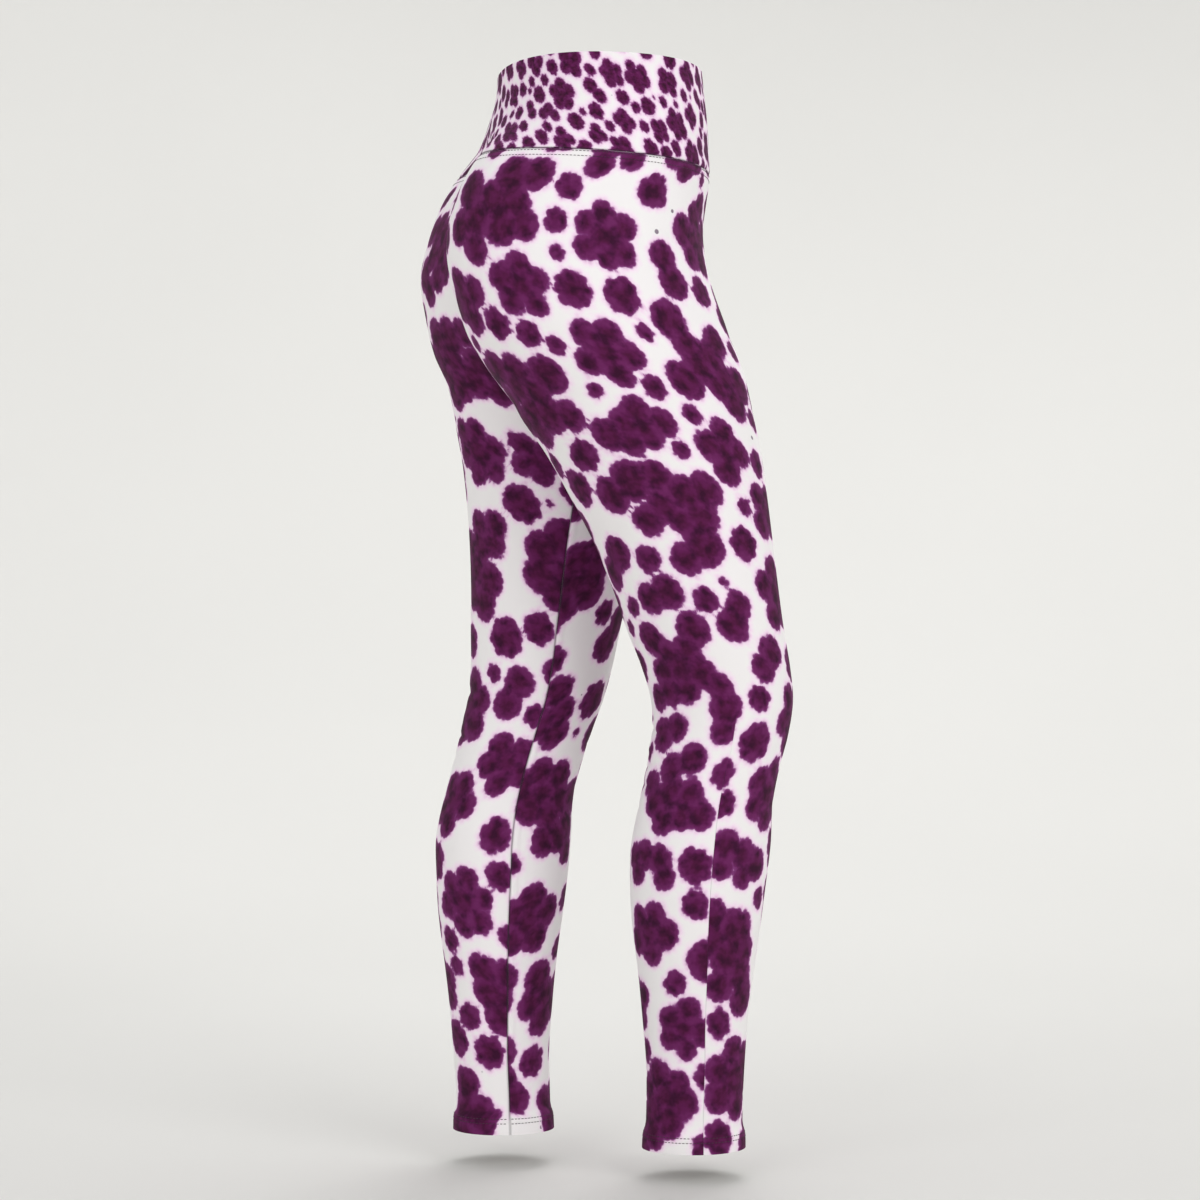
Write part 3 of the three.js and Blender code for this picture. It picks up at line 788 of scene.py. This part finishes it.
def studio_paper():
    """Matt seamless background paper, warm white, with a barely uneven surface."""
    material, tree = new_material("studio_paper")
    place = add(tree, "ShaderNodeTexCoord").outputs["Object"]
    uneven = add(tree, "ShaderNodeTexNoise", {"Vector": place, "Scale": 0.8, "Detail": 2.0})
    colour = add(tree, "ShaderNodeValToRGB", {"Fac": uneven.outputs["Fac"]})
    set_stops(colour, [(0.2, "#dbdad7"), (0.8, "#dfdedb")])
    surface = add(tree, "ShaderNodeBsdfPrincipled", {"Base Color": colour.outputs["Color"], "Roughness": 0.9,
                                                     "Specular IOR Level": 0.1})
    add(tree, "ShaderNodeOutputMaterial", {"Surface": surface.outputs["BSDF"]})
    return material


# The cloth
leg_jersey = printed_jersey("printed_leg_jersey", LEG_PRINT[0])
band_jersey = printed_jersey("printed_band_jersey", BAND_PRINT[0])
reverse = jersey_reverse()
thread = sewing_thread()

LEG_NAMES = {-1: "right_leg", 1: "left_leg"}
legs = {}
for side, node in LEG_NAMES.items():
    cloth = leg_cloth(side)
    cloth["side"] = side
    flat = np.stack([cloth["along"], cloth["down"]], axis=-1) * MM
    take = DART * (1 - np.clip(cloth["levels"] / SHAPING_SEAM_TOP, 0, 1)) ** 0.8
    top_row = int(np.searchsorted(cloth["levels"], SHAPING_SEAM_TOP))
    middle = cloth["points"].shape[1] // 2
    petals = blot_petals(width=620, length=900, scale=LEG_PRINT[0], seed=11 + side)
    piece = cloth_piece(f"{node}_panel", cloth["points"], flat, petals, LEG_PRINT, cloth["seam"], side < 0,
                        slit=(middle, top_row, np.array([0, SLIT_HALF_GAP, 0]), take))
    hem_top = HEMS[side] + HEM_DEPTH
    hem = piece.vertex_groups.new(name="hem")
    heights = np.array([v.co.z / MM + HELD_AT for v in piece.data.vertices])
    hem.add([int(i) for i in np.flatnonzero(heights < hem_top)], 1.0, "REPLACE")
    piece.data.materials.append(leg_jersey)
    piece.data.materials.append(reverse)
    wall = piece.modifiers.new("cloth wall", "SOLIDIFY")
    wall.thickness = HEM_CLOTH * MM
    wall.offset = -1
    wall.vertex_group = "hem"
    wall.thickness_vertex_group = LEG_CLOTH / HEM_CLOTH
    wall.material_offset = 1
    wall.material_offset_rim = 0
    rounding = piece.modifiers.new("turned edges", "BEVEL")
    rounding.width = 0.4 * MM
    rounding.segments = render_levels
    rounding.limit_method = "ANGLE"
    rounding.angle_limit = math.radians(60)
    lines = [line_across(cloth, HEMS[side] + up, STITCH_LIFT) for up in HEM_STITCH_LINES]
    stitches = thread_piece(f"{node}_hem_stitches", lines)
    legs[side] = {"cloth": cloth, "piece": piece, "stitches": stitches}

band = band_cloth()
flat = np.stack([band["along"], band["down"]], axis=-1) * MM
petals = blot_petals(width=1000, length=200, scale=BAND_PRINT[0], seed=5, kinds=BAND_BLOTS)
band_piece = cloth_piece("waistband_ring", band["points"], flat, petals, BAND_PRINT, band["seam"], True)
# The folded cloth is closed at its foot and at the centre back.
bm = bmesh.new()
bm.from_mesh(band_piece.data)
open_edge = [v for v in bm.verts if v.is_boundary]
bmesh.ops.remove_doubles(bm, verts=open_edge, dist=0.02 * MM)
bmesh.ops.holes_fill(bm, edges=[e for e in bm.edges if e.is_boundary], sides=0)
bm.to_mesh(band_piece.data)
bm.free()
band_piece.data.materials.append(band_jersey)

seam_lines = []
for side in (-1, 1):
    for down in WAIST_STITCH_LINES:
        seam_lines.append(line_across(legs[side]["cloth"], BAND_FOOT - SEAM_GAP - down, STITCH_LIFT))
waist_stitches = thread_piece("waist_seam_stitches", seam_lines)

for piece in (waist_stitches, legs[-1]["stitches"], legs[1]["stitches"]):
    piece.data.materials.append(thread)
    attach(piece, "root")
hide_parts("waistband")
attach(band_piece, "root")
for side, node in LEG_NAMES.items():
    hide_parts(node)
    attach(legs[side]["piece"], "root")

# The studio: a round paper sweep under and behind the garment, four soft lights and a pale sky
FLOOR = -0.922
SWEEP_FLAT = 1.5  # radius of its flat floor
SWEEP_BEND = 2.8  # radius of its rise
bm = bmesh.new()
profile = [(0, FLOOR)]
for a in np.linspace(0, math.pi / 2, 24):
    profile.append((SWEEP_FLAT + SWEEP_BEND * math.sin(a), FLOOR + SWEEP_BEND - SWEEP_BEND * math.cos(a)))
verts = [bm.verts.new((r, 0, z)) for r, z in profile]
edges = [bm.edges.new(pair) for pair in zip(verts, verts[1:])]
bmesh.ops.spin(bm, geom=verts + edges, cent=(0, 0, 0), axis=(0, 0, 1), angle=2 * math.pi, steps=96, use_merge=True)
bmesh.ops.remove_doubles(bm, verts=bm.verts, dist=1e-5)
bmesh.ops.recalc_face_normals(bm, faces=bm.faces)
for face in bm.faces:
    face.smooth = True
mesh = bpy.data.meshes.new("studio_sweep")
bm.to_mesh(mesh)
bm.free()
sweep = bpy.data.objects.new("studio_sweep", mesh)
sweep.data.materials.append(studio_paper())
bpy.context.scene.collection.objects.link(sweep)

MIDDLE = Vector((0, 0, -0.42))
SOFTBOXES = {  # place, size, power and what it is turned to
    "key_softbox": ((-2.9, -1.7, 1.0), 2.2, 41, MIDDLE),
    "fill_softbox": ((-2.6, 2.4, 0.5), 2.4, 35, MIDDLE),
    "far_softbox": ((1.9, -0.9, 2.5), 1.8, 34, MIDDLE),
    "backdrop_softbox": ((0.9, -0.2, 2.6), 2.0, 40, Vector((4.3, -0.76, 0.6))),
}
for name, (place, size, power, target) in SOFTBOXES.items():
    light = bpy.data.lights.new(name, "AREA")
    light.shape = "SQUARE"
    light.size = size
    light.energy = power
    lamp = bpy.data.objects.new(name, light)
    lamp.location = place
    lamp.rotation_euler = (target - Vector(place)).to_track_quat("-Z", "Y").to_euler()
    lamp.visible_camera = False
    bpy.context.scene.collection.objects.link(lamp)

world = bpy.data.worlds.new("studio_sky")
world.use_nodes = True
world.node_tree.nodes.clear()
sky = add(world.node_tree, "ShaderNodeBackground", {"Color": srgb("#f3f4f5"), "Strength": 0.67})
add(world.node_tree, "ShaderNodeOutputWorld", {"Surface": sky.outputs["Background"]})
bpy.context.scene.world = world
bpy.context.scene.view_settings.view_transform = "Standard"

# The camera stands level with the garment's middle, 10 degrees behind its right side
camera = bpy.data.objects.new("camera", bpy.data.cameras.new("camera"))
camera.data.lens = 88.8
camera.data.sensor_width = 36
camera.location = (-2.580, 0.455, -0.419)
camera.rotation_euler = Vector((0.9848, -0.1736, 0)).to_track_quat("-Z", "Y").to_euler()
bpy.context.scene.collection.objects.link(camera)
bpy.context.scene.camera = camera
